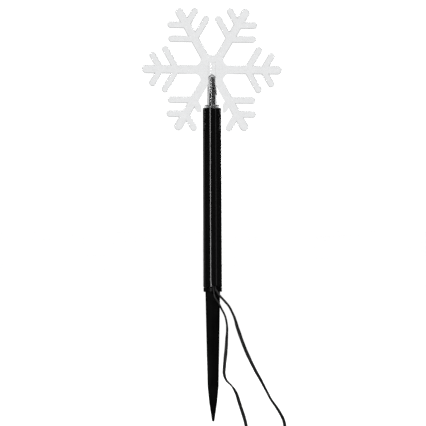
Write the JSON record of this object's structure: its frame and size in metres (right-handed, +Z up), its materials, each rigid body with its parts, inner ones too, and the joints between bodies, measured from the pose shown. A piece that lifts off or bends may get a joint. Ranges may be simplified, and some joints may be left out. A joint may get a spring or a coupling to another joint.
{
  "type": "pathway stake light",
  "caption": "Slim stake light: a flat clear snowflake on a short stem, a round black pole with a lamp and leads inside, a chamfered ground spike and two flat leads that end in connectors.",
  "frame": {"origin": "on the pole's axis at the underside of the base collar, which is the ground line when the spike is pushed in", "axes": "+Z up along the stake, +X to the right and +Y to the back of the flat snowflake, so the leads leave at the front (-Y)"},
  "size_m": [0.1043, 0.0364, 0.3177],
  "materials": {
    "clear_acrylic": "clear moulded acrylic, polished",
    "black_gloss": "glossy black plastic tube",
    "black_moulding": "black moulded plastic, satin",
    "black_pvc": "black soft pvc",
    "black_rubber": "black rubber",
    "lamp_epoxy": "clear epoxy lamp body",
    "tinned_wire": "tinned lead wire",
    "contact_brass": "plated brass contact",
    "resistor_lacquer": "beige lacquer",
    "seal_grey": "grey silicone rubber"
  },
  "bodies": {
    "spike": {"spike": "black_moulding"},
    "pole": {"base_collar": "black_moulding", "tube": "black_gloss", "led_lamp": "lamp_epoxy", "led_legs": "tinned_wire", "lamp_sleeve": "black_pvc", "lamp_holder": "black_moulding", "lamp_wires": "black_pvc", "series_resistor": "resistor_lacquer", "splice_sleeves": "black_pvc", "lead_cores": "black_pvc", "lead_tails": "black_pvc", "strain_tie": "black_moulding", "lead_in": "black_pvc", "lead_out": "black_pvc", "hank_in": "black_pvc", "hank_out": "black_pvc", "tie_in": "black_pvc", "tie_out": "black_pvc", "plug_boot": "black_rubber", "plug_body": "black_moulding", "plug_pins": "contact_brass", "plug_seal": "seal_grey", "socket_boot": "black_rubber", "socket_body": "black_moulding", "socket_contacts": "contact_brass"},
    "plug_insert": {"stem_plug": "clear_acrylic", "seal_ring": "black_rubber"},
    "head": {"snowflake": "clear_acrylic"},
    "nut": {"coupling_nut": "black_moulding"}
  },
  "joints": [
    {"name": "pole_lift", "type": "slide", "parent": "spike", "child": "pole", "axis": [0, 0, 1], "range_m": [0, 0.011]},
    {"name": "plug_lift", "type": "slide", "parent": "pole", "child": "plug_insert", "axis": [0, 0, 1], "range_m": [0, 0.011]},
    {"name": "head_swivel", "type": "hinge", "parent": "plug_insert", "child": "head", "pos_m": [0, 0, 0.161], "axis": [0, 0, 1], "continuous": true},
    {"name": "nut_turn", "type": "hinge", "parent": "pole", "child": "nut", "pos_m": [-0.035, -0.015, -0.1072], "axis": [-1, 0, 0], "continuous": true}
  ]
}
